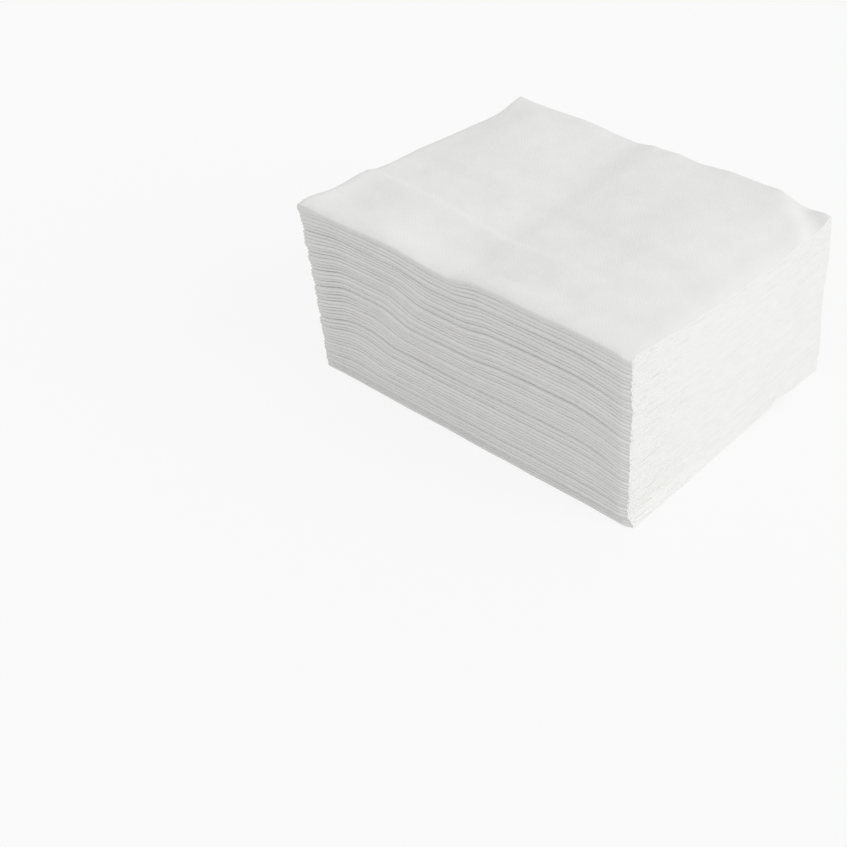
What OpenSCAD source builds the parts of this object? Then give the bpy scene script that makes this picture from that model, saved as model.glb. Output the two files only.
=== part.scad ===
// A settled stack of nonwoven paper towels.
// Each towel is one sheet folded in four: first across its length, then across its width.
// The second fold faces the front (-Y), the first folds face left (-X),
// and the cut edges of the four plies face right (+X) and back (+Y).

/* [Towel] */
// Length of the open sheet
sheet_l = 500; // [400:5:700]
// Width of the open sheet
sheet_w = 400; // [300:5:600]
// Thickness of one ply
ply = 0.5; // [0.4:0.05:0.7]
// Air left between two plies of one towel
ply_gap = 0.07; // [0.06:0.01:0.12]
// How far the rounded nose of the front fold reaches in
nose = 0.7; // [0.4:0.1:1]
// Thickness of the paper at the crest of a fold, as plies
crest_plies = 1.6; // [1.2:0.1:2]

/* [Stack] */
// Towels in the stack
towel_count = 50; // [40:1:60]
// Air left between two towels
towel_gap = 0.14; // [0.12:0.01:0.2]
// Extra air under the topmost towel, which lies on loosely
top_gap = 0.6; // [0.5:0.1:0.9]
// Most that a towel stands out from or behind its neighbours at the front
front_stray = 0.7; // [0:0.1:1.2]
// Most that a towel stands out from or behind its neighbours at the other sides
side_stray = 0.5; // [0:0.1:1.2]

/* [Lean] */
// How far the top has slid to the left at the front left corner
slide_front_left = 10; // [0:1:20]
// How far the top has slid to the left at the front right corner
slide_front_right = 7; // [0:1:20]
// Share of that slide which is gained just above the lowest towels
corner_step = 0.7; // [0:0.1:1]
// How far the top has slid to the left at the back right corner
slide_back_right = 2; // [0:1:10]
// How far the back right corner of the top is drawn in towards the front
draw_back_right = 6; // [0:1:12]
// How much of the lean is gained near the top: 1 is a straight slope
lean_power = 1.8; // [1:0.1:3]

/* [Waves] */
// Height of the swelling near the left end, halfway up
hump_rise = 4.2; // [0:0.2:6]
// Depth of the dent across the upper towels
dent_depth = 3.4; // [0:0.2:5]
// Drop of the left end
left_droop = 2; // [0:0.2:4]
// Drop of the front right corner, at the top
corner_droop = 2; // [0:0.2:4]
// Further drop of the front right corner, halfway up
corner_sag = 5; // [0:0.2:6]
// Dip of the middle of the right end below its corners, in the upper towels
end_dip = 4.4; // [0:0.2:6]
// Share of these waves that reaches the back
back_share = 0.5; // [0:0.1:1]
// Lift of the back edge, at the top
back_lift = 1.6; // [0:0.2:3]

/* [Topmost towel] */
// Swelling of its panels between the creases
panel_puff = 0.8; // [0:0.1:1.5]
// Curl of its back left corner
curl_left = 1; // [0:0.5:8]
// Curl of its back right corner
curl_right = 1; // [0:0.5:8]
// Lift of its front left tip
tip_lift = 2; // [0:0.5:4]

/* [Hidden] */
// Size of a folded towel
long = sheet_l / 2;
short = sheet_w / 2;
// Height that one towel takes up
pitch = 4 * ply + 3 * ply_gap + towel_gap;
stack_h = towel_count * pitch;
// Thickness of the paper at the crest of a fold
crest = crest_plies * ply;
// Levels between which the front right corner steps to the left
step_levels = [0.05, 0.2];
// Half heights inside a towel, as shares of the pitch: slit, inner leaf, air round it, outer leaf
slit_half = ply_gap / 2 / pitch;
inner_half = slit_half + ply / pitch;
air_half = inner_half + ply_gap / pitch;
outer_half = air_half + ply / pitch;
// Share of a side fold's height that is left at its tip
tip_share = 0.4;
// Turns of the waves, as shares of the length: hump, shoulder, foot of the dent, plateau, droop
hump_at = 0.12;
shoulder_at = [0.16, 0.39];
foot_at = [0.24, 0.48];
plateau_at = 0.6;
droop_at = 0.87;
// How far the upper dent drifts to the left on its way to the back, as a share of the length
foot_drift = 0.05;
// Levels between which the dent deepens, as shares of the stack
dent_floor = 0.48;
dent_full = 0.66;
// Towels below this one need no turn where the dent meets the plateau
plain_towels = floor(dent_floor * towel_count);
// Levels of the towels that are tucked in, which leaves the dark lines of the front
tucked_at = [0.36, 0.56, 0.75];
tuck = 1.2;
// Number of the turn at the right end
last_turn = 6;
// Creases of the topmost towel across its width, from the back to the front, and its puff there
top_lines = [1, 0.86, 0.5, 0.27, 0];
top_puff = [0, 0.7, 0.3, 1, 0];

function mix(a, b, t) = a + (b - a) * t;
function clamp(t) = max(0, min(1, t));
function swell(u) = sin(180 * clamp(u));
// A value from -1 to 1 that differs from towel to towel and from side to side
function stray(i, side) = sin(137.5 * i + 71 * side) * cos(59 * i + 23 * side);
function is_tucked(i) = len([for (u = tucked_at) if (floor(u * towel_count) == i) u]) > 0;

// Corners of the stack at level u, from 0 at the floor to 1 at the top
function lean(u) = pow(clamp(u), lean_power);
function front_left(u) = [-long / 2 - slide_front_left * lean(u), -short / 2];
function corner_lean(u) =
    mix(lean(u), clamp((u - step_levels[0]) / (step_levels[1] - step_levels[0])), corner_step);
function front_right(u) = [long / 2 - slide_front_right * corner_lean(u), -short / 2];
function back_left(u) = [-long / 2, short / 2];
function back_right(u) = [long / 2 - slide_back_right * lean(u), short / 2 - draw_back_right * lean(u)];

// Places and heights of the turns at level u, at the front and at the back
function front_at(u) = [
    0,
    hump_at,
    mix(shoulder_at[0], shoulder_at[1], u),
    mix(foot_at[0], foot_at[1], u),
    plateau_at,
    droop_at,
    1
];
function back_at(u) = front_at(u) - foot_drift * u * [0, 0, 1, 1, 0, 0, 0];
function dent(u) = clamp((u - plain_towels / towel_count) / (dent_full - dent_floor));
function front_z(u) = [
    -left_droop * clamp(8 * u),
    hump_rise * swell(u),
    0.8 * hump_rise * swell(u),
    -dent_depth * dent(u),
    0,
    0,
    -corner_droop * u - corner_sag * swell(u)
];
function back_z(u) = [for (z = front_z(u)) back_share * z + back_lift * u * u];
// The middle of the right end dips below its corners in the upper towels
function end_z(u) = (front_z(u)[last_turn] + back_z(u)[last_turn]) / 2 - end_dip * dent(u);

// Point of the surface at level u on turn k, at the share v of the way from front to back
function turn_point(k, v, u) =
    let (
        front = mix(front_left(u), front_right(u), front_at(u)[k]),
        back = mix(back_left(u), back_right(u), back_at(u)[k]),
        plan = mix(front, back, v),
        z = k < last_turn ? mix(front_z(u)[k], back_z(u)[k], v)
            : v < 0.5 ? mix(front_z(u)[k], end_z(u), 2 * v) : mix(end_z(u), back_z(u)[k], 2 * v - 1)
    )
    [plan[0], plan[1], stack_h * u + z];
// The same between two turns, on the two triangles that span them
function span_point(k, v, u) =
    let (a = max(0, min(last_turn - 1, floor(k))), t = k - a)
    t <= 0 || t >= 1 || v <= 0 || v >= 1 ? mix(turn_point(a, v, u), turn_point(a + 1, v, u), t)
    : t + v <= 1 ? mix(turn_point(a, v / (1 - t), u), turn_point(a + 1, 0, u), t)
    : mix(turn_point(a, 1, u), turn_point(a + 1, 1 - (1 - v) / t, u), t);

// Relief of the topmost towel over the surface that it lies on
function puff(k, v) = panel_puff * min(1, abs(k - 3))
    * lookup(v, [for (j = [0:len(top_lines) - 1]) [top_lines[j], top_puff[j]]]);
function curl(k, v) =
    let (
        left = clamp(1 - 2 * k),
        right = clamp(2 * k - 2 * last_turn + 1),
        back = clamp((v - top_lines[1]) / (1 - top_lines[1])),
        front = clamp(1 - v / top_lines[3])
    )
    back * (curl_left * left + curl_right * right) + front * tip_lift * left;
function relief(k, v) = top_gap + puff(k, v) + curl(k, v);

// One skin of a towel as [level, share of the way back, distance behind the front],
// first its under side and then its upper side, each from the back to the front
function skin(half, lines, d) = [
    for (side = [-1, 1], v = lines) [outer_half + side * half, v, v == 0 ? d : 0]
];
// All points of a section: the outer leaf's two skins, then the inner leaf's
function section(lines, outer, slit) = concat(
    skin(outer, lines, nose),
    [[outer_half, 0, 0]],
    skin(air_half, lines, crest),
    skin(inner_half, lines, crest + ply_gap),
    skin(slit, [for (v = lines) if (v > 0) v], 0),
    [[outer_half, 0, 2 * crest + ply_gap]]
);
// Point of towel i on station k for one of these
function towel_point(i, k, e) =
    let (
        front = front_stray * stray(i, 0) + (is_tucked(i) ? tuck : 0) + e[2],
        v = e[1] + (e[1] == 0 ? front : e[1] == 1 ? side_stray * stray(i, 1) : 0) / short,
        p = span_point(k, v, (i + e[0]) / towel_count)
    )
    i == towel_count - 1 ? p + [0, 0, relief(k, v)] : p;

// Point numbers of a section with n lines: the under and the upper side of each of the four skins
function count_up(first, n) = [for (j = [0:n - 1]) first + j];
function numbers(base, n) =
    let (
        nose_tip = base + 2 * n,
        air = nose_tip + 1,
        inner = air + 2 * n,
        slit = inner + 2 * n,
        slit_tip = slit + 2 * n - 2
    )
    [
        concat(count_up(base, n), nose_tip),
        concat(count_up(base + n, n), nose_tip),
        count_up(air, n),
        count_up(air + n, n),
        count_up(inner, n),
        count_up(inner + n, n),
        concat(count_up(slit, n - 1), slit_tip),
        concat(count_up(slit + n - 1, n - 1), slit_tip)
    ];
function backs(p, sides) = [for (s = sides) p[s][0]];
function fronts(p, sides) = [for (s = sides) p[s][len(p[s]) - 1]];
function first_twice(list) = concat(list[0], list);
function last_twice(list) = concat(list, list[len(list) - 1]);

// Triangles between two lists of point numbers, either of which may name a point twice
function strip(p, q) = [
    for (j = [0:len(p) - 2], f = [[p[j], q[j + 1], q[j]], [p[j], p[j + 1], q[j + 1]]])
        if (f[0] != f[1] && f[1] != f[2] && f[2] != f[0]) f
];
function turned(faces) = [for (f = faces) [f[2], f[1], f[0]]];

// Both side folds from their tips p to section q, where the air inside the outer leaf begins
function side_folds(p, q) = concat(
    strip(p[0], q[0]),
    turned(strip(p[1], q[1])),
    turned(strip(p[6], q[6])),
    strip(p[7], q[7]),
    turned(strip(backs(p, [0, 0, 6, 6]), backs(q, [0, 2, 4, 6]))),
    turned(strip(backs(p, [7, 7, 1, 1]), backs(q, [7, 5, 3, 1]))),
    turned(strip(p[0], last_twice(p[6]))),
    turned(strip(last_twice(p[7]), p[1])),
    strip(q[2], q[4]),
    strip(q[5], q[3]),
    strip(fronts(q, [2, 3]), fronts(q, [4, 5]))
);
// The four plies and their front folds between sections p and q
function plies(p, q) = concat(
    [for (s = [0, 3, 4, 7]) each strip(p[s], q[s])],
    [for (s = [1, 2, 5, 6]) each turned(strip(p[s], q[s]))],
    [for (s = [[0, 2], [4, 6], [7, 5], [3, 1]]) each turned(strip(backs(p, s), backs(q, s)))],
    turned(strip(fronts(p, [2, 3]), fronts(q, [2, 3]))),
    strip(fronts(p, [4, 5]), fronts(q, [4, 5]))
);
// The cut edges at the right end
function right_end(p) = concat(
    strip(p[0], last_twice(p[2])),
    strip(last_twice(p[3]), p[1]),
    [fronts(p, [0, 3, 2])],
    strip(p[4], p[6]),
    strip(p[7], p[5]),
    [fronts(p, [4, 5, 6])]
);

// One towel, folded in four
module towel(i) {
    top = i == towel_count - 1;
    plain = i < plain_towels;
    lines = top ? top_lines : [1, 0];
    end_lines = top ? top_lines : plain ? lines : [1, 0.5, 0];
    turns = top ? [0.5, 1, 2, 3, 4, 5, 5.5] : plain ? [1, 2, 3, 5] : [1, 2, 3, 4, 5];
    left = side_stray * stray(i, 2) / (hump_at * long);
    right = last_turn + side_stray * stray(i, 3) / (long - droop_at * long);
    places = concat(left + crest / (hump_at * long), turns);
    // At its tip a side fold keeps only a share of its height
    fold_mid = (outer_half + slit_half) / 2;
    fold_rise = (outer_half - slit_half) / 2 * tip_share;

    points = concat(
        [for (e = section(lines, fold_mid + fold_rise, fold_mid - fold_rise)) towel_point(i, left, e)],
        [for (k = places, e = section(lines, outer_half, slit_half)) towel_point(i, k, e)],
        [for (e = section(end_lines, outer_half, slit_half)) towel_point(i, right, e)]
    );
    size = 8 * len(lines);
    sections = [for (r = [0:len(places)]) numbers(r * size, len(lines))];
    end_section = numbers((len(places) + 1) * size, len(end_lines));
    before_end = sections[len(places)];
    color([0.95, 0.95, 0.94])
    polyhedron(
        points = points,
        faces = concat(
            side_folds(sections[0], sections[1]),
            [for (r = [1:len(places) - 1]) each plies(sections[r], sections[r + 1])],
            plies(
                len(end_lines) > len(lines) ? [for (s = before_end) first_twice(s)] : before_end,
                end_section
            ),
            right_end(end_section)
        )
    );
}

for (i = [0:towel_count - 1]) towel(i);
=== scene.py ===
"""A settled stack of white nonwoven towels, each one sheet folded in four."""

import math

import bpy
import numpy as np
from mathutils import Matrix, Vector


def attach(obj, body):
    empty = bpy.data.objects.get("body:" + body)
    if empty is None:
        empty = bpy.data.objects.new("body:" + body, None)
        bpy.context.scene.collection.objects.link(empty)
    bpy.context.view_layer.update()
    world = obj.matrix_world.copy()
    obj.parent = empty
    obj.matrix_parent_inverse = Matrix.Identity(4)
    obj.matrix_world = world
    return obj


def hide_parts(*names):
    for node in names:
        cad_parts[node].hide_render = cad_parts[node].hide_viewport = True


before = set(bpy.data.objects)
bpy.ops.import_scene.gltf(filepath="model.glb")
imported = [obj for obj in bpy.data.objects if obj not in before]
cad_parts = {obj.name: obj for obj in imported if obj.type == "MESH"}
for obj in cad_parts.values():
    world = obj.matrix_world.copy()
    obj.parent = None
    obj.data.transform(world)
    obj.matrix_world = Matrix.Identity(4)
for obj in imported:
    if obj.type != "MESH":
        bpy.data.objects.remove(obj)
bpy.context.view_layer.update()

MM = 0.001

# The sheet and the stack, as in the part's source (mm)
SHEET = (500.0, 400.0)
LONG, SHORT = SHEET[0] / 2, SHEET[1] / 2
COUNT = 50
PLY, PLY_GAP, TOWEL_GAP = 0.5, 0.07, 0.14
PITCH = 4 * PLY + 3 * PLY_GAP + TOWEL_GAP
STACK_H = COUNT * PITCH
CREST = 1.6 * PLY

# Lean of the stack at its top (mm), and how it grows with the height
SLIDE_FRONT_LEFT, SLIDE_FRONT_RIGHT = 12.0, 7.0
SLIDE_BACK_RIGHT, DRAW_BACK_RIGHT = 2.0, 6.0
LEFT_POWER, LEAN_POWER = 1.4, 1.8
# A share of the right corners' lean comes as a step at these levels of the height
CORNER_STEP, FRONT_STEP_LEVELS, BACK_STEP_LEVELS = 0.6, (0.0, 0.09), (0.28, 0.42)

# Waves of the settled towels (mm)
HUMP, DENT, RIGHT_RISE = 4.8, 3.1, 1.8
LEFT_DROOP, LEFT_SAG, LEFT_FROM_LEVEL = 1.2, 2.6, 0.125
CORNER_DROOP, CORNER_SAG, END_DIP = 1.4, 6.5, 5.0
BACK_SHARE = 0.5
# Where they turn, as shares of the length, at the base and at the top of the stack
SHOULDER, FOOT = (0.08, 0.365), (0.18, 0.48)
VALLEY_END, PLATEAU = (0.60, 0.49), (0.74, 0.57)
# The same on the topmost towels, whose dent is eased behind the front
TOP_LEVELS, TOP_SHOULDER, TOP_PLATEAU = (0.8, 1), 0.26, 0.8
PLATEAU_BEHIND = (0, 0.12)
DENT_EASED, EASED_BEHIND = 0.7, (0.05, 0.3)
# Shares of the length over which the left end, the hump and the right side rise
LEFT_END, HUMP_START, RIGHT_START = (0, 0.13), (0, 0.15), (0.4, 0.8)
# Where the right end begins to bend down, and where its dip lies between front and back
DROOP_AT, DIP_AT, BEND_POWER = 0.84, 0.76, 1.5
DIP_RISES, DIP_FALLS = (0, 0.5), (0.74, 0.92)
# Levels over which the dent and the dip set in, and how far the waves drift towards the back
DENT_LEVELS, DRIFT = (0.3, 0.8), 0.05
# Bends go on a little past the end, for plies that stand out there
PAST_END = 1.1

# Where a towel stands out from or behind its neighbours (mm)
FRONT_STRAY, SIDE_STRAY = 0.5, 0.3
TOP_GAP = 0.2
# Rounding of the front's right end and of its lowest towels: how far in, and over which way (mm)
# and how many towels
CORNER_ROUND, CORNER_WAY = 1.6, 7
BASE_ROUND, BASE_TOWELS = 0.3, 2.5
# Ripples of each front fold: size and wavelength
RIPPLE, RIPPLE_LENGTH = 0.2, 24
# Towels that are tucked in, which makes a dark line below them on the front:
# how marked it is, and where it begins and ends (mm from the left tip)
DARK_LINES = {
    9: (0.35, 130, 250), 18: (1.6, -25, 250), 23: (0.6, 20, 150), 28: (0.9, -10, 250), 33: (0.6, -35, 120),
    34: (0.4, -35, 60), 37: (1.0, 60, 250), 38: (0.5, -35, 110), 40: (0.6, 140, 250), 44: (0.7, -35, 250),
    45: (0.5, -35, 90),
}
TUCK, DARK_GROOVE = 1.1, 1.6

# Stations along a towel (mm from its left tip and from its cut end)
FOLD_STEPS = (0.0, 0.12, 0.32, 0.6, CREST)
INNER_STATIONS = np.linspace(3.0, LONG - 4.8, 90)
CUT_STEPS = (2.4, 0.6, 0.0)
# Lines across it (shares of the width), closer on the top towel and closest at its fine ridge
LINES = (0.035, 0.25, 0.5, 0.75, 1.0)
TOP_LINES = np.concatenate((
    np.linspace(0.02, 0.225, 11),
    np.linspace(0.232, 0.305, 16),
    np.linspace(0.325, 1, 35),
))
CUT_SPACING = 3.2


# Small numeric helpers

def mix(a, b, t):
    return a + (b - a) * t


def smooth(a, b, x):
    """Eases from 0 at a to 1 at b."""
    t = np.clip((x - a) / (b - a), 0, 1)
    return t * t * (3 - 2 * t)


def window(rises, falls, x):
    """Eases from 0 to 1 over the first range and back to 0 over the second."""
    return smooth(*rises, x) * (1 - smooth(*falls, x))


def bump(x, middle, half_width):
    return np.exp(-((x - middle) / half_width) ** 2)


def bend(starts, length, most, x):
    """Grows with the square of the way past a place, up to a most."""
    return np.clip((x - starts) / length, 0, most) ** 2


def line(points, x):
    """The value at x of a line through (place, value) points."""
    places, values = zip(*points)
    return np.interp(x, places, values)


def wobble(x, seed, wavelength, octaves=3):
    """A smooth random line over x, about -1 to 1."""
    x = np.asarray(x, float)
    total = np.zeros_like(x)
    generator = np.random.default_rng(seed)
    for octave in range(octaves):
        knots = generator.uniform(-1, 1, 1024)
        place = x * 2 ** octave / wavelength + 500
        low = np.floor(place).astype(int) % 1022
        t = smooth(0, 1, place - np.floor(place))
        total += mix(knots[low], knots[low + 1], t) / 1.6 ** octave
    return total / 1.6


def drape(layer, x, seed, layers, wavelength):
    """A random line that changes slowly from one layer to the next."""
    low = int(layer // layers)
    here = wobble(x, seed + low, wavelength)
    above = wobble(x, seed + low + 1, wavelength)
    return mix(here, above, smooth(0, 1, layer / layers - low))


def mottle(x, y, seed, wavelength):
    """A random field over a plane, about -1 to 1."""
    turns = np.arange(6) * math.pi / 6 + 0.2
    lines = (wobble(x * math.cos(a) + y * math.sin(a), seed + k, wavelength) for k, a in enumerate(turns))
    return sum(lines) / 2.2


def stray(i, side):
    """A fixed scatter from towel to towel, -1 to 1, another one for each side."""
    return math.sin(math.radians(137.5 * i + 71 * side)) * math.cos(math.radians(59 * i + 23 * side))


# The surfaces that the towels lie on

def wave(s, v, u):
    """Height over the flat level u, at share s of the length and share v from front to back."""
    swell = np.sin(np.pi * np.clip(u, 0, 1))
    top = smooth(*TOP_LEVELS, u)
    shoulder, foot = mix(mix(*SHOULDER, u), TOP_SHOULDER, top), mix(*FOOT, u)
    valley_end = mix(*VALLEY_END, u)
    plateau = mix(mix(*PLATEAU, u), TOP_PLATEAU, top * smooth(*PLATEAU_BEHIND, v))
    along = s + DRIFT * u * v
    deep = DENT * smooth(*DENT_LEVELS, u) * (1 - DENT_EASED * top * smooth(*EASED_BEHIND, v))
    fall = smooth(shoulder, foot, along)
    front = (
        -(LEFT_DROOP + LEFT_SAG * swell) * np.minimum(1, u / LEFT_FROM_LEVEL) * (1 - smooth(*LEFT_END, s))
        + HUMP * swell * smooth(*HUMP_START, s) * (1 - fall)
        + RIGHT_RISE * swell * smooth(*RIGHT_START, s)
        - deep * (fall - smooth(valley_end, plateau, along))
    )
    end = np.clip((s - DROOP_AT) / (1 - DROOP_AT), 0, PAST_END) ** BEND_POWER
    corner = CORNER_DROOP * u + CORNER_SAG * swell
    dip_end = np.clip((s - DIP_AT) / (1 - DIP_AT), 0, PAST_END) ** BEND_POWER
    dip = END_DIP * smooth(*DENT_LEVELS, u) * window(DIP_RISES, DIP_FALLS, v)
    return (front - end * corner) * mix(1, BACK_SHARE, v) - dip_end * dip


def plan(s, v, u):
    """Place from above."""
    level = np.clip(u, 0, 1)
    lean = level ** LEAN_POWER
    at_front, at_back = (smooth(*levels, level) - lean for levels in (FRONT_STEP_LEVELS, BACK_STEP_LEVELS))
    left = mix(-LONG / 2 - SLIDE_FRONT_LEFT * level ** LEFT_POWER, -LONG / 2, v)
    right = LONG / 2 - mix(SLIDE_FRONT_RIGHT, SLIDE_BACK_RIGHT, v) * lean
    right = right - SLIDE_FRONT_RIGHT * CORNER_STEP * at_front * np.clip(1 - v, 0, 1) ** 3
    back = SHORT / 2 - DRAW_BACK_RIGHT * (lean + CORNER_STEP * at_back) * np.clip(s, 0, 1) ** 3
    return mix(left, right, s), mix(-SHORT / 2, back, v)


# Marks of the uppermost towels. All places and heights are in mm, from the middle of the stack,
# and a line is given by (place, value) points
# The crease across: where it runs from front to back, its step and half its width
CREASE_X = ((-100, -6), (-60, -6), (0, -6.5), (35, -8.5), (60, -11), (90, -13))
CREASE_STEP = (
    (-100, 0.2), (-70, 0.5), (-40, 0.35), (20, 0.6), (40, 2.0), (60, 2.8), (88, 2.4), (100, 1.2),
)
CREASE_HALF = ((-100, 5), (0, 5), (40, 9), (60, 13), (90, 13))
# How much of the step is made up before and behind it, and over which way
CREASE_BEFORE, CREASE_BEHIND = (0.55, 65), (0.45, 75)
# The fine ridge along: its place, height, slopes before and behind it, and where it ends
RIDGE_Y = ((-125, -41), (-26, -49.5), (0, -53), (50, -51))
RIDGE_RISE, RIDGE_BEFORE, RIDGE_BEHIND, RIDGE_ENDS = 1.5, (-24, -1), (-1, 6.5), (35, 75)
# The soft band along: its place, depth, edge and width, and where it begins, pauses and ends
BAND_Y = ((-126, -4), (-60, -4), (0, -8), (97, -11))
BAND_DEPTH, BAND_EDGE, BAND_MIDDLE, BAND_HALF = 1.6, (-5, 5), -6, 26
BAND_BEGINS, BAND_PAUSE, BAND_ENDS = (-145, -95), (0.7, -30, 25), (75, 115)


def creases(x, y):
    """Folding marks: one across, a fine ridge and a band along."""
    half = line(CREASE_HALF, y)
    away = x - line(CREASE_X, y)
    before, way_before = CREASE_BEFORE
    behind, way_behind = CREASE_BEHIND
    step = smooth(-1, 1, away / half)
    step = step - before * smooth(-way_before, 0, away + half) - behind * smooth(0, way_behind, away - half)

    from_ridge = y - line(RIDGE_Y, x)
    ridge = smooth(*RIDGE_BEFORE, from_ridge) - smooth(*RIDGE_BEHIND, from_ridge)
    ridge = ridge * (1 - smooth(*RIDGE_ENDS, x))

    from_band = y - line(BAND_Y, x)
    pause, pause_x, pause_half = BAND_PAUSE
    band = window(BAND_BEGINS, BAND_ENDS, x) * (1 - pause * bump(x, pause_x, pause_half))
    band = band * smooth(*BAND_EDGE, -from_band) * bump(from_band, BAND_MIDDLE, BAND_HALF)
    return line(CREASE_STEP, y) * step + RIDGE_RISE * ridge - BAND_DEPTH * band


# The left edge's waves from front to back, and how far in they reach
LEFT_EDGE = (
    (-100, 0), (-86, 0.2), (-54, 0.4), (-22, -0.8), (6, -0.6), (32, -2.4),
    (52, -3), (67, -4), (75, -4.4), (84, -3.4), (91, -1.6), (100, 0.6),
)
LEFT_REACH = (-134, -100)
# The lifted back right corner and the valley before it, by the way along the diagonal
LIFTED_AT = (121, 92)
CORNER_LIFT, LIFT_WAY = 2.9, (-9, 2)
CORNER_VALLEY, VALLEY_WAY = 3.1, (-23, -11)
# The front right corner and the right edge bend down
FRONT_CORNER_DROP, DROP_X, DROP_Y = 2.0, (108, 119), (-92, -100)
RIGHT_BEND, RIGHT_BEND_AT, RIGHT_BEND_WAY, RIGHT_BEND_MOST = 1.3, 110, 11, 1.2


def corners(x, y):
    """Waves of the left edge, the right corners and the right edge."""
    left = line(LEFT_EDGE, y) * (1 - smooth(*LEFT_REACH, x))
    diagonal = ((x - LIFTED_AT[0]) + (y - LIFTED_AT[1])) / math.sqrt(2)
    lifted = CORNER_LIFT * smooth(*LIFT_WAY, diagonal) - CORNER_VALLEY * smooth(*VALLEY_WAY, diagonal)
    dropped = FRONT_CORNER_DROP * smooth(*DROP_X, x) * smooth(*DROP_Y, y)
    return left + lifted - dropped - RIGHT_BEND * bend(RIGHT_BEND_AT, RIGHT_BEND_WAY, RIGHT_BEND_MOST, x)


# The front and back edges' waves from left to right, and how far in they reach
FRONT_EDGE = (
    (-135, 2.8), (-120, 3.4), (-110, 3.2), (-100, 2.6), (-85, 2.2), (-70, 2.4),
    (-50, 3.5), (-40, 3.6), (-25, 2.8), (-10, 2.6), (5, 2.7), (28, 3.9),
    (45, 3.8), (54, 3.4), (78, 3.6), (100, 2.9), (110, 2.6),
)
BACK_EDGE = (
    (-125, 0.6), (-107, 0.3), (-67, 1.2), (-50, 0.6), (-39, -0.6), (-24, -1.2),
    (-17, -0.6), (-10, 0.5), (-3, -0.4), (9, 0.4), (27, -0.8), (34, -0.4),
    (50, 1.0), (75, 0.6), (85, 1.0), (95, 0.2),
)
FRONT_REACH, BACK_REACH = (-100, -70), (80, 98)
# The front edge is rolled over
FRONT_ROLL, FRONT_ROLL_AT, FRONT_ROLL_WAY = 1.6, -91, 9


def edges(x, y):
    """Waves of the front and back edges."""
    front = line(FRONT_EDGE, x) * (1 - smooth(*FRONT_REACH, y))
    back = line(BACK_EDGE, x) * smooth(*BACK_REACH, y)
    return front + back - FRONT_ROLL * bend(-FRONT_ROLL_AT, FRONT_ROLL_WAY, PAST_END, -y)


# The towels are puffed up in the middle, apart from a hollow at the crease, and more at the back
PUFF, PUFF_X, PUFF_Y = 1.9, ((-132, -75), (60, 122)), ((-85, -35), (45, 98))
HOLLOW, HOLLOW_X, HOLLOW_HALF, HOLLOW_ENDS = 0.6, -14, 22, (10, 50)
REAR_PUFF, REAR_X, REAR_Y = 1.4, ((-10, 85), (92, 112)), (15, 65)
# A hump near the front left corner
LEFT_HUMP, LEFT_HUMP_X, LEFT_HUMP_Y = 2.4, (-82, 26), (-80, 25)
# Small random waves: how high, seed and wavelength
SOFT_WAVES = ((0.2, 40, 15), (0.45, 60, 55))


def puffs(x, y):
    """Broad swellings and small waves."""
    hollow = 1 - HOLLOW * bump(x, HOLLOW_X, HOLLOW_HALF) * (1 - smooth(*HOLLOW_ENDS, y))
    middle = PUFF * window(*PUFF_X, x) * window(*PUFF_Y, y) * hollow
    rear = REAR_PUFF * window(*REAR_X, x) * smooth(*REAR_Y, y)
    hump = LEFT_HUMP * bump(x, *LEFT_HUMP_X) * bump(y, *LEFT_HUMP_Y)
    return middle + rear + hump + sum(high * mottle(x, y, seed, length) for high, seed, length in SOFT_WAVES)


# Shares of the stack's height that the marks at the top and the lifted lowest towels take
MARKED_TOP, LIFTED_BASE = (0.9, 1.0), (0, 0.13)
# The lowest towels' right edge is lifted between two places, and most at one place
BASE_LIFT, BASE_LIFT_Y = 1.3, ((12, 22), (62, 76))
BASE_PEAK, BASE_PEAK_Y, BASE_PEAK_HALF = 2.4, 53, 9
BASE_LIFT_X = (95, 123)


def relief(x, y, u):
    """What only the uppermost and the lowest towels have."""
    result = np.zeros_like(x + y + u)
    if np.max(u) > MARKED_TOP[0]:
        result += smooth(*MARKED_TOP, u) * (creases(x, y) + corners(x, y) + edges(x, y) + puffs(x, y))
    if np.min(u) < LIFTED_BASE[1]:
        lifted = BASE_LIFT * window(*BASE_LIFT_Y, y) + BASE_PEAK * bump(y, BASE_PEAK_Y, BASE_PEAK_HALF)
        result += (1 - smooth(*LIFTED_BASE, u)) * lifted * smooth(*BASE_LIFT_X, x)
    return result


def settle(s, v, u):
    x, y = plan(s, v, u)
    z = STACK_H * u + wave(s, v, u) + relief(x, y, u)
    return np.stack(np.broadcast_arrays(x, y, z), axis=-1)


# One folded towel

# Half heights of the four skins, as shares of the pitch: outer leaf's outside and inside,
# inner leaf's outside and inside
SKIN_HALF = np.array([
    2 * PLY + 1.5 * PLY_GAP,
    PLY + 1.5 * PLY_GAP,
    PLY + 0.5 * PLY_GAP,
    0.5 * PLY_GAP,
]) / PITCH
# How far behind the front each skin's fold begins
SKIN_DEPTH = (0.0, CREST, CREST + PLY_GAP, 2 * CREST + PLY_GAP)
# Points of a skin's quarter turn: the outermost one is seen and so is finer
SKIN_ARC = ((0.25, 0.5, 0.75, 1.0), (0.5, 1.0), (0.5, 1.0), (0.5, 1.0))


def skin_profile(skin, lines):
    """A skin's section: [share of its half height, share of the way back, share of the nose]."""
    quarter = [(math.sin(math.pi / 2 * a), 0.0, 1 - math.cos(math.pi / 2 * a)) for a in SKIN_ARC[skin]]
    upper = quarter + [(1.0, v, 0.0) for v in lines]
    lower = [(-h, v, d) for h, v, d in reversed(upper)]
    return np.array(lower + [(0.0, 0.0, 0.0)] + upper)


def finer(lines):
    """The same lines with others between them, close enough for the cut edges."""
    result = [lines[0]]
    for a, b in zip(lines[:-1], lines[1:]):
        result.extend(np.linspace(a, b, 1 + math.ceil((b - a) * SHORT / CUT_SPACING))[1:])
    return result


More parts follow.
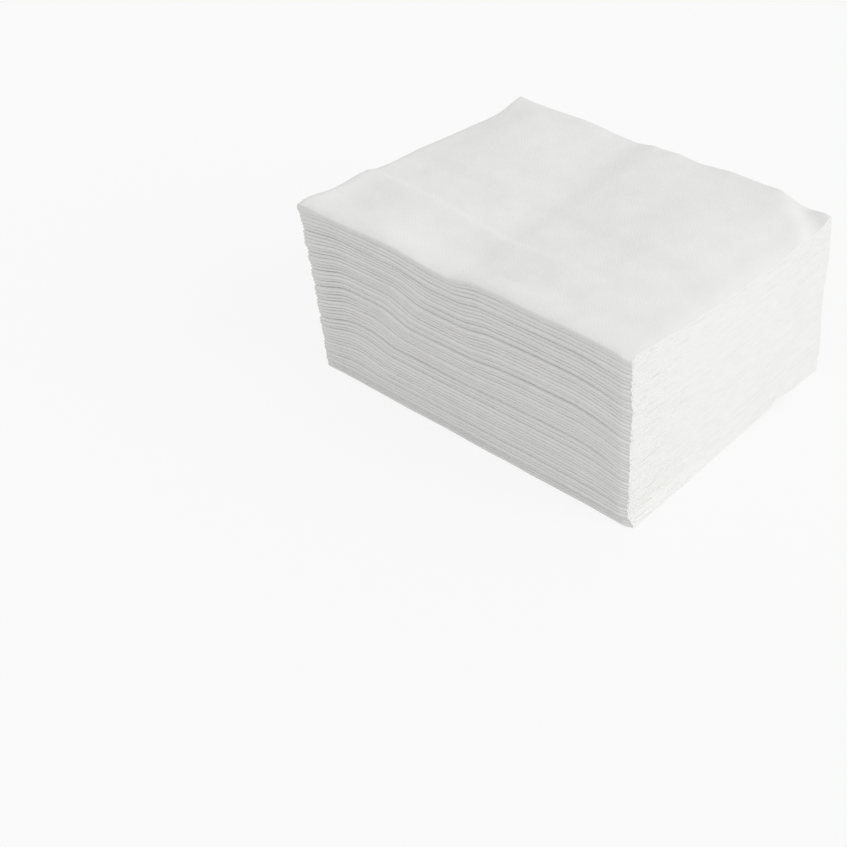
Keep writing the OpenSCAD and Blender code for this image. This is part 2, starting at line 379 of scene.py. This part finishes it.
def matching(few, many):
    """For each point of a profile the same point of a finer one."""
    place = {tuple(q): j for j, q in enumerate(np.round(many, 6))}
    return [place[tuple(p)] for p in np.round(few, 6)]


# The groove at the front between two towels (mm): depth, its changes and limits, how much of it
# is left at the topmost towels, and how it closes at its left and right ends
GROOVE, GROOVE_STRAY, GROOVE_WOBBLE, GROOVE_LIMITS = 1.45, 0.5, 0.35, (0.25, 3.0)
SHALLOW_GROOVES, SHALLOW_SHARE = 3, 0.4
LEFT_CLOSED, LEFT_WAY = 0.4, (0, 18)
RIGHT_CLOSED, RIGHT_WAY = 0.6, (LONG - 14, LONG - 2)
# The marks of the dark lines vary and fade at both ends (mm)
DARK_FADE_IN, DARK_FADE_OUT = 35, 30


def groove(j, x):
    """Depth of the groove at the front between towels j - 1 and j (mm)."""
    varied = GROOVE_STRAY * stray(j, 5) + GROOVE_WOBBLE * wobble(x, GROOVE_SEED + j, 80, 2)
    depth = GROOVE + varied + DARK_GROOVE * dark_share(j, x)
    if j > COUNT - SHALLOW_GROOVES:
        depth = SHALLOW_SHARE * depth
    closed_ends = mix(LEFT_CLOSED, 1, smooth(*LEFT_WAY, x)) * mix(1, RIGHT_CLOSED, smooth(*RIGHT_WAY, x))
    return np.clip(depth, *GROOVE_LIMITS) * closed_ends


def dark_share(j, x):
    """How marked the dark line below towel j is along the front, 0 for other towels."""
    if j not in DARK_LINES:
        return 0 * x
    marked, begins, ends = DARK_LINES[j]
    varied = np.clip(0.9 + 0.3 * wobble(x, DARK_SEED + j, 80, 2), 0.65, 1)
    return marked * varied * window((begins, begins + DARK_FADE_IN), (ends - DARK_FADE_OUT, ends), x)


# Seeds of the random lines that each towel or ply has for itself
GROOVE_SEED, DARK_SEED, RIPPLE_SEED, TURN_SEED = 500, 600, 100, 300
FRAY_SEED, CLOSING_SEED, BACK_SEED = 2000, 2500, 5200
# Random lines of the edges: how far they swing (mm), seed, how many plies or towels they last
# and wavelength (mm)
CUT_DRAPES = ((0.5, 900, 14, 45), (0.3, 1300, 5, 14))
BACK_DRAPES = ((0.5, 5000, 3, 60),)
TIP_DRAPES = ((0.5, 4000, 9, 60), (0.2, 4200, 3, 25))
FRONT_DRAPES = ((0.6, 3000, 4, 70),)
# The cut plies at the right are frayed more near the front: at the front, further back, and
# the way from front to back over which that changes (mm)
FRAY, STRAY_SHARE = (0.45, 0.1, 80), (1.6, 0.4, 60)
BACK_FRAY = 0.25


def drapes(layer, x, lines):
    return sum(swing * drape(layer, x, seed, layers, length) for swing, seed, layers, length in lines)


def from_front(change, y):
    """The first value at the front, the second one from a way behind it."""
    at_front, further_back, way = change
    return mix(at_front, further_back, smooth(0, way, y))


def cut_end(i, k, h, y):
    """How far a cut ply stands out at the right end (mm)."""
    outer = k < 2
    result = 0
    for side, share in ((0 if outer else 1, (1 - h) / 2), (3 if outer else 2, (1 + h) / 2)):
        ply = 4 * i + side
        frayed = from_front(FRAY, y) * wobble(y, FRAY_SEED + ply, 6, 2)
        result = result + share * (drapes(ply, y, CUT_DRAPES) + frayed)
    return result + SIDE_STRAY * from_front(STRAY_SHARE, y) * stray(i, 3)


def back_end(i, k, h, x):
    """How far a cut ply stands out at the back (mm)."""
    outer = k < 2
    side = np.where(h < 0, 0 if outer else 1, 3 if outer else 2)
    result = drapes(i, x, BACK_DRAPES) + SIDE_STRAY * stray(i, 1)
    for n in range(4):
        result = result + (side == n) * BACK_FRAY * wobble(x, BACK_SEED + 4 * i + n, 11, 2)
    return result


def left_tip(i, h, y):
    """How far the side folds stand in or out at the left end (mm)."""
    lower, upper = (drapes(2 * i + n, y, TIP_DRAPES) for n in (0, 1))
    return mix(lower, upper, (h + 1) / 2) + SIDE_STRAY * stray(i, 2)


# The front fold's middle is turned up or down (share of the pitch)
TURN_WOBBLE, TURN_STRAY = 0.1, 0.25
# The topmost towel's left folds stay open: how high, over which way they open and close (mm),
# and how much less they do behind the front
OPEN_FOLD, OPEN_TIP, OPEN_WAY = 2.6, 3.0, 16
OPEN_LESS, OPEN_BEHIND = 0.6, (0.05, 0.5)


def skin_points(i, k, profile, places, half):
    """Points of a skin: places (mm along the towel) and half heights, station by point."""
    h, v, d = (column[None, :] for column in profile.T)
    along = places[:, :1]
    dark = dark_share(i, along)
    front = (
        FRONT_STRAY * stray(i, 0) * (1 - dark) + TUCK * dark
        + drapes(i, along, FRONT_DRAPES) + RIPPLE * wobble(along, RIPPLE_SEED + i, RIPPLE_LENGTH)
        + CORNER_ROUND * smooth(LONG - CORNER_WAY, LONG, along) ** 2
        + BASE_ROUND * max(0, 1 - i / BASE_TOWELS) ** 2
    )
    nose = np.where(h < 0, groove(i, along), groove(i + 1, along)) * SKIN_HALF[k] / SKIN_HALF[0]
    turn = (TURN_WOBBLE * wobble(along, TURN_SEED + i, 70, 2) + TURN_STRAY * stray(i, 7)) * (1 - np.abs(h))
    share = v + ((v == 0) * (front + SKIN_DEPTH[k] + d * nose) + (v == 1) * back_end(i, k, h, places)) / SHORT
    level = (i + SKIN_HALF[0] + h * half + (v == 0) * turn) / COUNT
    points = settle(places / LONG, share, level)
    if i == COUNT - 1:
        # The topmost towel lies on loosely
        tip = np.clip(places / OPEN_TIP, 0, 1)
        open_fold = OPEN_FOLD * np.sqrt(tip * (2 - tip)) * np.exp(-(places / OPEN_WAY) ** 2)
        open_fold = open_fold * (1 - OPEN_LESS * smooth(*OPEN_BEHIND, v))
        points[..., 2] += TOP_GAP + open_fold * np.clip(h, 0, 1) * (k < 2)
    return points


class Shell:
    """Points and faces of one closed mesh."""

    def __init__(self):
        self.blocks, self.faces, self.count = [], [], 0

    def add(self, points):
        index = np.arange(points.shape[0] * points.shape[1]).reshape(points.shape[:2]) + self.count
        self.blocks.append(points.reshape(-1, 3))
        self.count += index.size
        return list(index)

    def grid(self, a, b, flip=False):
        quads = np.stack([a[:-1], a[1:], b[1:], b[:-1]], axis=-1)
        self.faces.extend((quads[:, ::-1] if flip else quads).tolist())

    def zipper(self, few, many, match, flip=False):
        """Triangles between a line of points and a finer one."""
        faces = []
        for c in range(len(few) - 1):
            first, last = match[c], match[c + 1]
            middle = (first + last) // 2
            faces.append([few[c], few[c + 1], many[middle]])
            faces.extend([few[c if j < middle else c + 1], many[j + 1], many[j]] for j in range(first, last))
        self.faces.extend([f[::-1] for f in faces] if flip else faces)

    def mesh(self, name):
        points = np.concatenate(self.blocks)
        used = np.zeros(len(points), bool)
        for face in self.faces:
            used[face] = True
        number = np.cumsum(used) - 1
        mesh = bpy.data.meshes.new(name)
        mesh.from_pydata((points[used] * MM).tolist(), [], [number[face].tolist() for face in self.faces])
        mesh.validate()
        mesh.shade_smooth()
        mesh.set_sharp_from_angle(angle=math.radians(50))
        return mesh


# How blunt a side fold is at its tip, from 0 to 1
TIP_BLUNT = 0.15
# The cut plies swell and close the air between them: the share at most, how much less it is in
# places, and how much of the air the swelling can take
CLOSED, CLOSED_LESS, AIR_TAKEN = 0.9, 0.4, 0.9


def towel_mesh(i):
    lines = TOP_LINES if i == COUNT - 1 else LINES
    cut_lines = finer(list(lines))
    coarse = [skin_profile(k, lines) for k in range(4)]
    fine = [skin_profile(k, cut_lines) for k in range(4)]
    match = [matching(coarse[k], fine[k]) for k in range(4)]
    folded = len(FOLD_STEPS) - 1
    shell = Shell()

    rows = []
    for k, (profile, cut_profile) in enumerate(zip(coarse, fine)):
        tips = left_tip(i, profile[:, 0], profile[:, 1] * SHORT)
        places = np.concatenate((
            tips[None, :] + np.array(FOLD_STEPS)[:, None],
            np.broadcast_to(INNER_STATIONS[:, None], (len(INNER_STATIONS), len(profile))),
        ))
        half = np.full(places.shape, SKIN_HALF[k])
        # The two plies of a side fold close round to its tip
        middle, rise = (SKIN_HALF[0] + SKIN_HALF[3]) / 2, (SKIN_HALF[0] - SKIN_HALF[3]) / 2
        for r in range(folded):
            turn = mix(TIP_BLUNT, 1, math.sqrt(1 - (1 - FOLD_STEPS[r] / CREST) ** 2))
            half[r] = middle + rise * turn * (1 if k == 0 else -1)
        stations = shell.add(skin_points(i, k, profile, places, half))

        ends = cut_end(i, k, cut_profile[:, 0], cut_profile[:, 1] * SHORT)
        places = LONG + ends[None, :] - np.array(CUT_STEPS)[:, None]
        loose = np.clip(wobble(cut_profile[:, 1] * SHORT, CLOSING_SEED + 4 * i + k, 7, 2), 0, 1)
        closed = CLOSED - CLOSED_LESS * loose
        closed = np.stack([0 * closed, closed, closed])
        air = (TOWEL_GAP, -PLY_GAP, PLY_GAP, -PLY_GAP)[k] / 2
        swelling = (air * AIR_TAKEN / PITCH) * closed
        stations += shell.add(skin_points(i, k, cut_profile, places, SKIN_HALF[k] + swelling))
        rows.append(stations)

    zip_at = folded + len(INNER_STATIONS)
    shell.zipper(rows[3][0], rows[0][0], matching(coarse[3], coarse[0]))
    shell.grid(rows[1][folded], rows[2][folded])
    for r in range(len(rows[0]) - 1):
        a, b = [row[r] for row in rows], [row[r + 1] for row in rows]
        for k in (0, 3) if r < folded else range(4):
            if r == zip_at:
                shell.zipper(a[k], b[k], match[k], flip=k in (1, 3))
            else:
                shell.grid(a[k], b[k], flip=k in (1, 3))
        if r < folded:
            inner = [b[1], b[2]] if r == folded - 1 else []
            shell.faces.append([a[0][0], b[0][0], *(row[0] for row in inner), b[3][0], a[3][0]])
            shell.faces.append([a[3][-1], b[3][-1], *(row[-1] for row in inner[::-1]), b[0][-1], a[0][-1]])
        else:
            for under, over in ((0, 1), (2, 3)):
                shell.faces.append([a[under][0], b[under][0], b[over][0], a[over][0]])
                shell.faces.append([a[over][-1], b[over][-1], b[under][-1], a[under][-1]])
    shell.zipper(rows[1][-1], rows[0][-1], matching(fine[1], fine[0]), flip=True)
    shell.grid(rows[2][-1], rows[3][-1])
    return shell.mesh(f"towel_{i + 1:02d}_mesh")


# Materials

# Paler and darker fibres, and how dense the patterns are
FIBRE_DARK, FIBRE_PALE = (0.815, 0.814, 0.796, 1), (0.905, 0.904, 0.890, 1)
FIBRES, CLOUDS, STREAKS, FUZZ, RIBS = 900, 60, 320, 480, 250.0
RIB_TONE, RIB_RELIEF, CUT_RELIEF = 0.06, 0.5, 2.0
BUMP_STRENGTH, BUMP_HEIGHT = 0.4, 0.0003
# How far a face has to look to the right to count as a cut edge
CUT_FACING = (0.5, 0.85)
# The floor's tone under the lamps, and how white it is to the camera
FLOOR_TONE, FLOOR_WHITE = 0.78, 0.85


def new_material(name):
    material = bpy.data.materials.new(name)
    material.use_nodes = True
    nodes = material.node_tree.nodes
    nodes.clear()
    return material, nodes, material.node_tree.links


def noise(nodes, links, vector, scale, detail, roughness=0.5):
    texture = nodes.new("ShaderNodeTexNoise")
    texture.inputs["Scale"].default_value = scale
    texture.inputs["Detail"].default_value = detail
    texture.inputs["Roughness"].default_value = roughness
    links.new(vector, texture.inputs["Vector"])
    return texture.outputs["Fac"]


def math_node(nodes, links, operation, *values):
    node = nodes.new("ShaderNodeMath")
    node.operation = operation
    for socket, value in zip(node.inputs, values):
        if isinstance(value, (int, float)):
            socket.default_value = value
        else:
            links.new(value, socket)
    return node.outputs["Value"]


def towel_material():
    """Matt white fibres with fine slanting ribs; the cut edges are rougher and streaked."""
    material, nodes, links = new_material("nonwoven")
    out = nodes.new("ShaderNodeOutputMaterial")
    shader = nodes.new("ShaderNodeBsdfPrincipled")
    shader.inputs["Roughness"].default_value = 0.9
    shader.inputs["Specular IOR Level"].default_value = 0.2
    links.new(shader.outputs["BSDF"], out.inputs["Surface"])

    place = nodes.new("ShaderNodeTexCoord")
    where = place.outputs["Object"]
    facing = nodes.new("ShaderNodeSeparateXYZ")
    links.new(place.outputs["Normal"], facing.inputs["Vector"])
    cut = nodes.new("ShaderNodeMapRange")
    cut.inputs["From Min"].default_value, cut.inputs["From Max"].default_value = CUT_FACING
    links.new(facing.outputs["X"], cut.inputs["Value"])
    cut = cut.outputs["Result"]

    fibres = noise(nodes, links, where, FIBRES, 4, 0.65)
    clouds = noise(nodes, links, where, CLOUDS, 5, 0.6)
    flat_streaks = nodes.new("ShaderNodeMapping")
    flat_streaks.inputs["Scale"].default_value = (1.0, 0.3, 1.0)
    links.new(where, flat_streaks.inputs["Vector"])
    streaks = noise(nodes, links, flat_streaks.outputs["Vector"], STREAKS, 5, 0.65)
    fuzz = noise(nodes, links, where, FUZZ, 5, 0.7)

    ribs = nodes.new("ShaderNodeTexWave")
    ribs.bands_direction = "DIAGONAL"
    ribs.inputs["Scale"].default_value = RIBS
    ribs.inputs["Distortion"].default_value = 4.0
    ribs.inputs["Detail Scale"].default_value = 0.4
    ribs.inputs["Detail"].default_value = 2.0
    links.new(where, ribs.inputs["Vector"])

    tone = nodes.new("ShaderNodeMix")
    tone.data_type = "RGBA"
    tone.inputs["A"].default_value = FIBRE_DARK
    tone.inputs["B"].default_value = FIBRE_PALE
    pattern = nodes.new("ShaderNodeMix")
    links.new(cut, pattern.inputs["Factor"])
    ribbed_clouds = math_node(nodes, links, "MULTIPLY_ADD", ribs.outputs["Fac"], RIB_TONE, clouds)
    links.new(ribbed_clouds, pattern.inputs["A"])
    links.new(streaks, pattern.inputs["B"])
    links.new(pattern.outputs["Result"], tone.inputs["Factor"])
    links.new(tone.outputs["Result"], shader.inputs["Base Color"])

    rib_height = math_node(nodes, links, "MULTIPLY", ribs.outputs["Fac"], clouds)
    height = math_node(nodes, links, "MULTIPLY_ADD", rib_height, RIB_RELIEF, fibres)
    rough_edge = math_node(nodes, links, "MULTIPLY", math_node(nodes, links, "ADD", fuzz, streaks), cut)
    height = math_node(nodes, links, "MULTIPLY_ADD", rough_edge, CUT_RELIEF, height)
    bump_node = nodes.new("ShaderNodeBump")
    bump_node.inputs["Strength"].default_value = BUMP_STRENGTH
    bump_node.inputs["Distance"].default_value = BUMP_HEIGHT
    links.new(height, bump_node.inputs["Height"])
    links.new(bump_node.outputs["Normal"], shader.inputs["Normal"])
    return material


def camera_like_ray(nodes, links):
    """1 for rays from the camera and for those that glossy or clear things pass on."""
    paths = nodes.new("ShaderNodeLightPath").outputs
    either = math_node(nodes, links, "MAXIMUM", paths["Is Camera Ray"], paths["Is Glossy Ray"])
    return math_node(nodes, links, "MAXIMUM", either, paths["Is Transmission Ray"])


def floor_material():
    """White to the camera, with the object's shadow kept as a soft tone."""
    material, nodes, links = new_material("backdrop")
    out = nodes.new("ShaderNodeOutputMaterial")
    diffuse = nodes.new("ShaderNodeBsdfDiffuse")
    diffuse.inputs["Color"].default_value = (FLOOR_TONE, FLOOR_TONE, FLOOR_TONE, 1)
    white = nodes.new("ShaderNodeEmission")
    white.inputs["Color"].default_value = (1, 1, 1, 1)
    seen = nodes.new("ShaderNodeMixShader")
    whiteness = math_node(nodes, links, "MULTIPLY", camera_like_ray(nodes, links), FLOOR_WHITE)
    links.new(whiteness, seen.inputs["Fac"])
    links.new(diffuse.outputs["BSDF"], seen.inputs[1])
    links.new(white.outputs["Emission"], seen.inputs[2])
    links.new(seen.outputs["Shader"], out.inputs["Surface"])
    return material


# The pieces

cloth = towel_material()
for number in range(COUNT):
    name = f"towel_{number + 1:02d}"
    piece = bpy.data.objects.new(f"sheet_{number + 1:02d}", towel_mesh(number))
    bpy.context.scene.collection.objects.link(piece)
    piece.data.materials.append(cloth)
    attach(piece, "root")
    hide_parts(name)


# Floor, light and camera

# The floor's reach and depth (m), just under the stack
FLOOR_REACH, FLOOR_DEPTH = 3.0, 0.0002
# Where the key light comes from, its strength and softness (degrees), and the light all round
KEY_FROM, KEY_STRENGTH, KEY_SOFTNESS = (0.84, 0.22, 0.47), 1.20, 50
AMBIENT = 0.712

floor_mesh = bpy.data.meshes.new("floor_mesh")
floor_corners = ((-1, -1), (1, -1), (1, 1), (-1, 1))
floor_mesh.from_pydata(
    [(x * FLOOR_REACH, y * FLOOR_REACH, -FLOOR_DEPTH) for x, y in floor_corners], [], [(0, 1, 2, 3)]
)
floor = bpy.data.objects.new("floor", floor_mesh)
bpy.context.scene.collection.objects.link(floor)
floor.data.materials.append(floor_material())


def sun(name, toward_light, strength, softness):
    lamp = bpy.data.lights.new(name, "SUN")
    lamp.energy = strength
    lamp.angle = math.radians(softness)
    lamp_object = bpy.data.objects.new(name, lamp)
    lamp_object.rotation_euler = Vector(toward_light).to_track_quat("Z", "Y").to_euler()
    bpy.context.scene.collection.objects.link(lamp_object)


sun("key", KEY_FROM, KEY_STRENGTH, KEY_SOFTNESS)

world = bpy.data.worlds.new("studio")
world.use_nodes = True
world_nodes, world_links = world.node_tree.nodes, world.node_tree.links
world_nodes.clear()
world_out = world_nodes.new("ShaderNodeOutputWorld")
ambient = world_nodes.new("ShaderNodeBackground")
ambient.inputs["Color"].default_value = (1, 1, 1, 1)
world_light = world_nodes.new("ShaderNodeMapRange")
world_light.inputs["To Min"].default_value = AMBIENT
world_light.inputs["To Max"].default_value = 1.0
world_links.new(camera_like_ray(world_nodes, world_links), world_light.inputs["Value"])
world_links.new(world_light.outputs["Result"], ambient.inputs["Strength"])
world_links.new(ambient.outputs["Background"], world_out.inputs["Surface"])
bpy.context.scene.world = world
bpy.context.scene.view_settings.view_transform = "Standard"

# The photo's view: angles in degrees, lengths in mm, focal length as 1370 of 847 pixels
CAMERA_PLACE = (447.7, -580.73, 538.93)
CAMERA_AZIMUTH, CAMERA_ELEVATION, CAMERA_ROLL = 45.257, 38.533, -3.462
SENSOR = 36.0
FOCAL_PX, FRAME_PX = 1370.0, 847.0

azimuth, elevation, roll = (math.radians(a) for a in (CAMERA_AZIMUTH, CAMERA_ELEVATION, CAMERA_ROLL))
toward = Vector((
    math.sin(azimuth) * math.cos(elevation),
    -math.cos(azimuth) * math.cos(elevation),
    math.sin(elevation),
))
level_right = Vector((0, 0, 1)).cross(toward).normalized()
level_up = toward.cross(level_right)
camera_right = math.cos(roll) * level_right + math.sin(roll) * level_up
camera_up = -math.sin(roll) * level_right + math.cos(roll) * level_up

camera_data = bpy.data.cameras.new("photo_camera")
camera_data.sensor_width = SENSOR
camera_data.lens = FOCAL_PX / FRAME_PX * SENSOR
camera = bpy.data.objects.new("photo_camera", camera_data)
camera.matrix_world = Matrix.Translation(Vector(CAMERA_PLACE) * MM) @ Matrix((
    camera_right, camera_up, toward
)).transposed().to_4x4()
bpy.context.scene.collection.objects.link(camera)
bpy.context.scene.camera = camera
